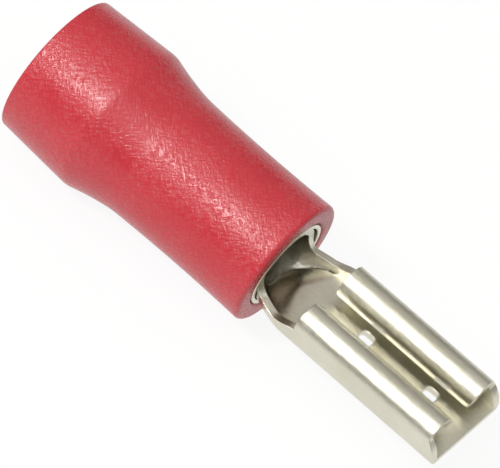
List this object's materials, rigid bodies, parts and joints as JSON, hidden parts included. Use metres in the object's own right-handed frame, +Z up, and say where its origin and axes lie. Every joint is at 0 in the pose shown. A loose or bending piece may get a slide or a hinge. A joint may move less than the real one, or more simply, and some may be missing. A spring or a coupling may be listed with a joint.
{
  "type": "female spade terminal",
  "caption": "Insulated female spade terminal: a sheet-metal receptacle with rolled edges on a crimp barrel, with a red funnel-entry sleeve.",
  "frame": {"origin": "centre of the bounding box in X and Y, on the surface that the shoulder of the sleeve rests on", "axes": "+X along the wire barrel towards the mouth, +Z up from the receptacle's floor towards its rolled edges"},
  "size_m": [0.0194, 0.0058, 0.0058],
  "materials": {
    "tinned_brass": "bright tin plating over brass strip",
    "tinned_tube": "bright tin plating over seamless tube",
    "red_pvc": "satin, slightly translucent PVC with fine handling scratches"
  },
  "bodies": {
    "root": {"terminal": "tinned_brass", "support_tube": "tinned_tube", "insulating_sleeve": "red_pvc"}
  },
  "joints": []
}
